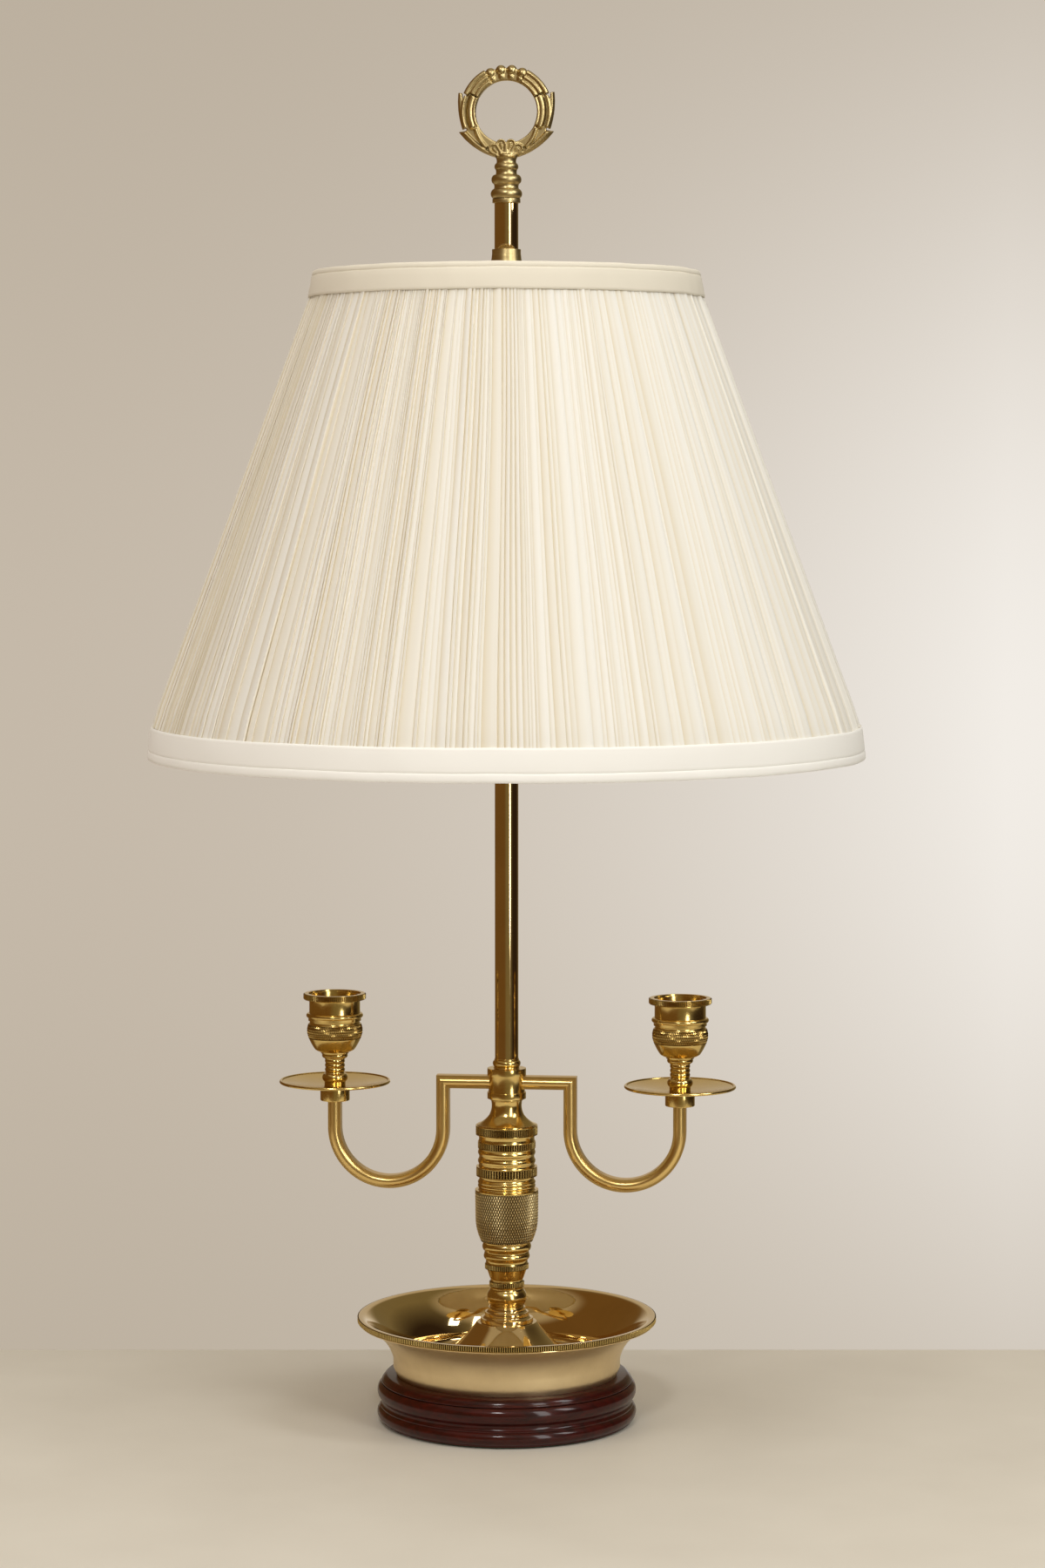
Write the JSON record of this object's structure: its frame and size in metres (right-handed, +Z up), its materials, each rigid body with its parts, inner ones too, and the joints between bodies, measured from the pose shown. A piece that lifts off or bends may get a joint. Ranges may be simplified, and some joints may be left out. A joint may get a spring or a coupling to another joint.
{
  "type": "bouillotte lamp",
  "caption": "Table lamp with a turned brass column on a wooden base, two candle arms with drip pans, a dished tray and a pleated empire shade under a ring finial.",
  "frame": {"origin": "centre of the felt pad's underside, on the surface that the lamp stands on", "axes": "+Z up along the column; the two arms run along +X and -X; -Y is the front with the switch, +Y the back with the cord inlet"},
  "size_m": [0.3558, 0.3558, 0.6739],
  "materials": {
    "polished_brass": "polished",
    "satin_brass": "satin",
    "aged_brass": "aged, knurled",
    "antique_brass": "antique",
    "socket_brass": "thin sheet, bright",
    "mahogany": "high gloss varnish",
    "green_felt": "felt",
    "black_plastic": "moulded",
    "zinc_steel": "zinc plated",
    "liner_paper": "fibre paper",
    "bulb_aluminium": "rolled thread",
    "bulb_frosted": "frosted white",
    "shade_fabric": "pleated woven",
    "shade_lining": "matt"
  },
  "bodies": {
    "root": {"felt_pad": "green_felt", "wood_base": "mahogany", "cord_bushing": "black_plastic", "base_washer": "zinc_steel", "base_nut": "zinc_steel", "drip_tray": "satin_brass", "cone_foot": "polished_brass", "knop": "polished_brass", "lower_reel": "polished_brass", "knurled_drum": "aged_brass", "ribbed_reel": "polished_brass", "neck": "polished_brass", "arm_hub": "polished_brass", "stem_check_ring": "polished_brass", "stem_tube": "polished_brass", "threaded_rod": "zinc_steel", "cup_studs": "zinc_steel", "harp_saddle": "antique_brass", "harp_wire": "antique_brass", "harp_stud": "antique_brass", "socket_cap": "socket_brass", "socket_shell": "socket_brass", "socket_liner": "liner_paper", "socket_body": "black_plastic", "screw_shell": "socket_brass", "right_arm": "polished_brass", "right_collar": "polished_brass", "right_drip_pan": "polished_brass", "right_candle_cup": "polished_brass", "left_arm": "polished_brass", "left_collar": "polished_brass", "left_drip_pan": "polished_brass", "left_candle_cup": "polished_brass"},
    "shade": {"shade_cover": "shade_fabric", "shade_lining": "shade_lining", "shade_bottom_band": "shade_fabric", "shade_top_band": "shade_fabric", "shade_spider": "antique_brass", "shade_bottom_ring": "antique_brass"},
    "finial_lift": {"riser_collar": "antique_brass"},
    "finial": {"riser_tube": "antique_brass", "finial_stem": "antique_brass", "finial_wreath": "antique_brass"},
    "bulb": {"bulb_cap": "bulb_aluminium", "bulb_glass": "bulb_frosted"},
    "switch": {"switch_shaft": "zinc_steel", "switch_knob": "black_plastic"},
    "right_ferrule": {"right_harp_ferrule": "antique_brass"},
    "left_ferrule": {"left_harp_ferrule": "antique_brass"}
  },
  "joints": [
    {"name": "switch_turn", "type": "hinge", "parent": "root", "child": "switch", "pos_m": [0, -0.0158, 0.359], "axis": [0, -1, 0], "continuous": true},
    {"name": "bulb_turn", "type": "hinge", "parent": "root", "child": "bulb", "pos_m": [0, 0, 0.368], "axis": [0, 0, 1], "continuous": true},
    {"name": "shade_turn", "type": "hinge", "parent": "root", "child": "shade", "pos_m": [0, 0, 0.568], "axis": [0, 0, 1], "continuous": true},
    {"name": "finial_rise", "type": "slide", "parent": "root", "child": "finial_lift", "axis": [0, 0, 1], "range_m": [0, 0.0066]},
    {"name": "finial_turn", "type": "hinge", "parent": "finial_lift", "child": "finial", "pos_m": [0, 0, 0.5842], "axis": [0, 0, 1], "range_deg": [0, 2520]},
    {"name": "right_ferrule_rise", "type": "slide", "parent": "root", "child": "right_ferrule", "axis": [0, 0, 1], "range_m": [0, 0.01]},
    {"name": "left_ferrule_rise", "type": "slide", "parent": "root", "child": "left_ferrule", "axis": [0, 0, 1], "range_m": [0, 0.01]}
  ],
  "couplings": [
    {"joint": "finial_rise", "follows": "finial_turn", "m_per_rad": 0.00014972}
  ]
}
